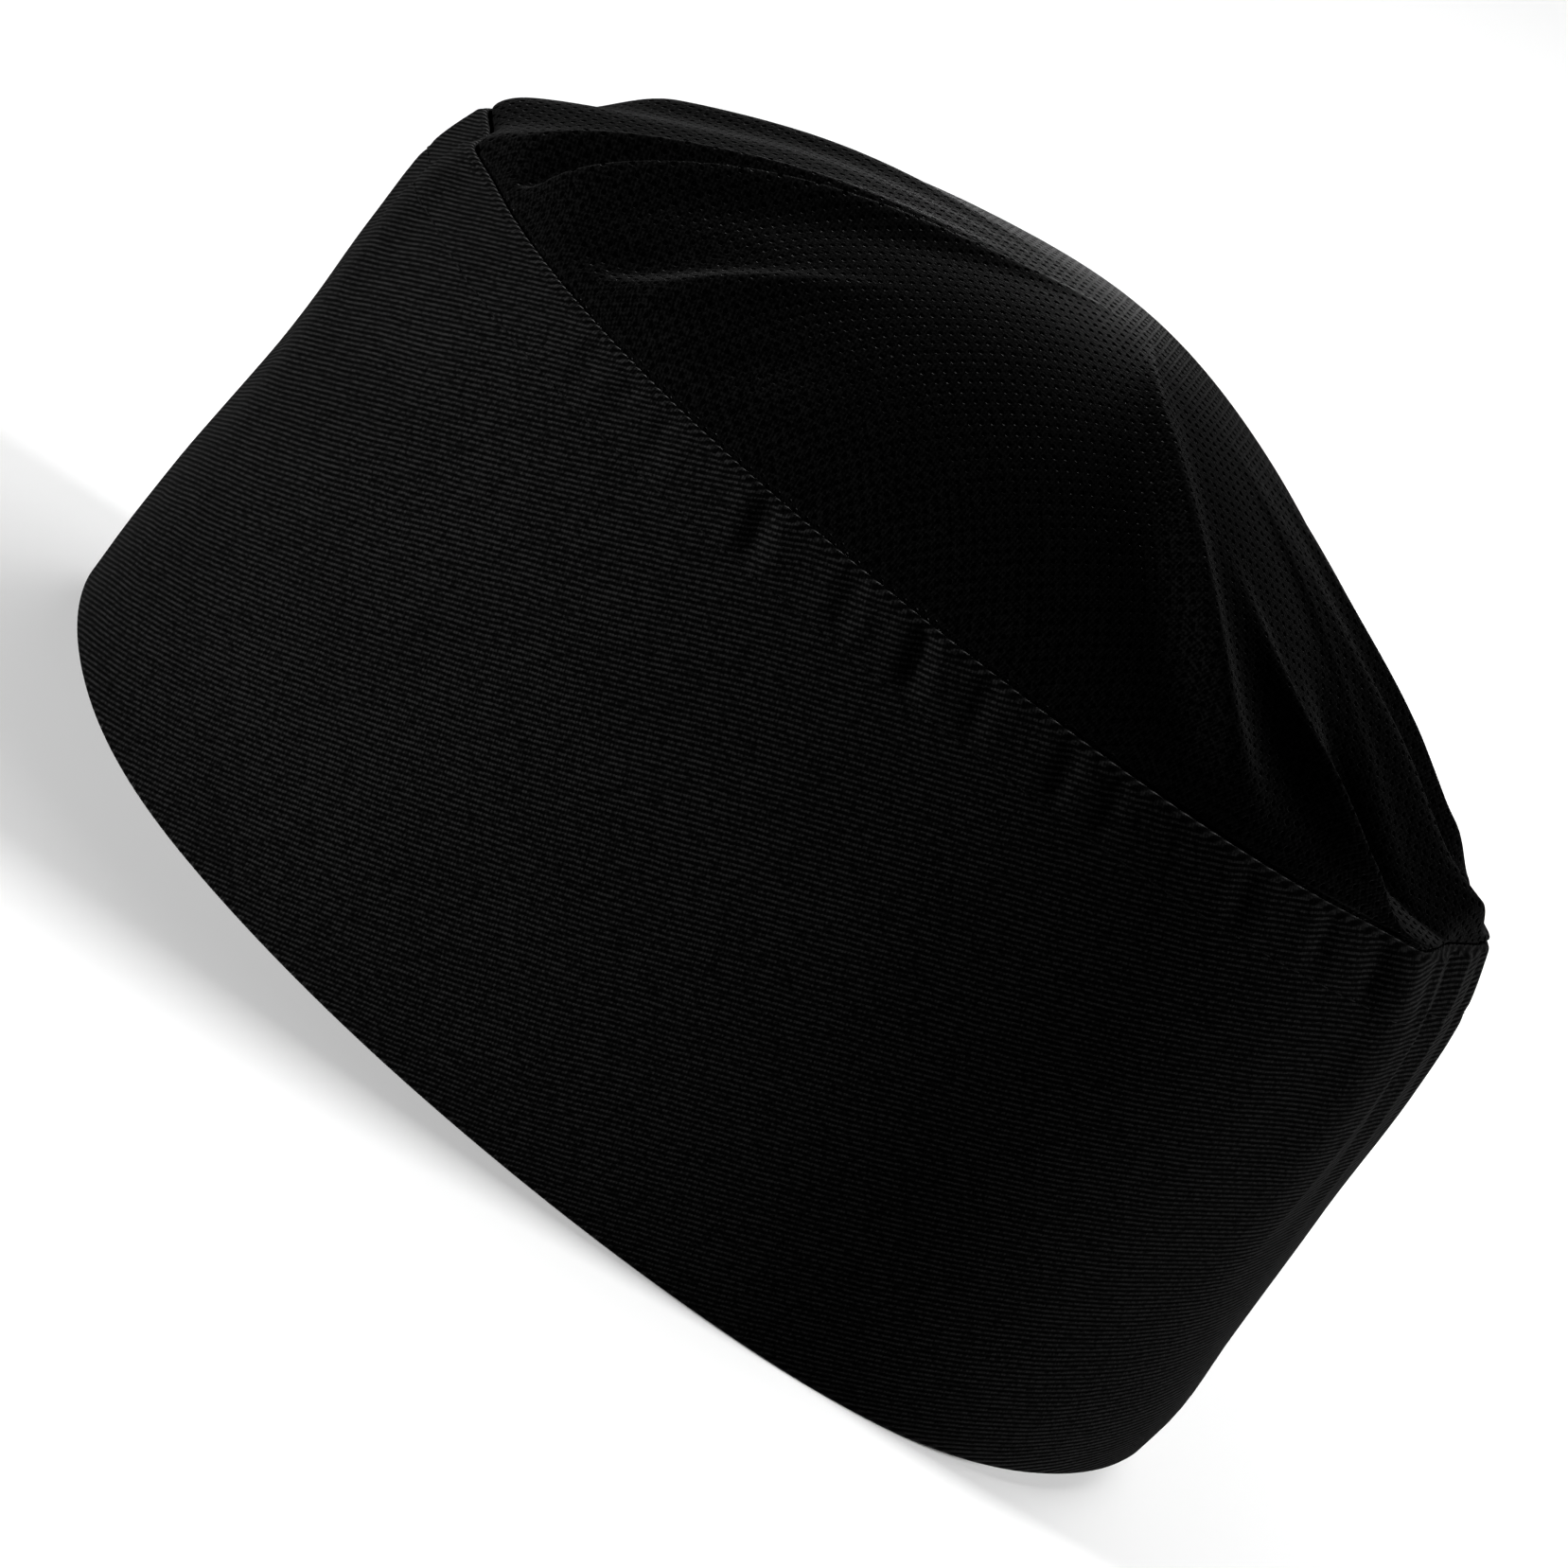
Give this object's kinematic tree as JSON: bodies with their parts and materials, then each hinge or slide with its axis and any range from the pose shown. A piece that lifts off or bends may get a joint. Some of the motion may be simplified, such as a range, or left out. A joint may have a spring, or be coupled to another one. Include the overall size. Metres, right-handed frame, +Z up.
{
  "type": "chef hat",
  "caption": "Low cook's skull cap with a tall plain twill band and a domed mesh crown gathered at both ends.",
  "frame": {"origin": "middle of the cap's box on the plane that its rim rests on", "axes": "+X along the cap's length, towards the flatter end, +Z up through the crown, -Y towards the viewer of the picture"},
  "size_m": [0.2198, 0.148, 0.1455],
  "materials": {
    "band_twill": "matt black cotton twill",
    "crown_mesh": "black knitted air mesh with small holes"
  },
  "bodies": {
    "root": {"band": "band_twill", "crown": "crown_mesh"}
  },
  "joints": []
}
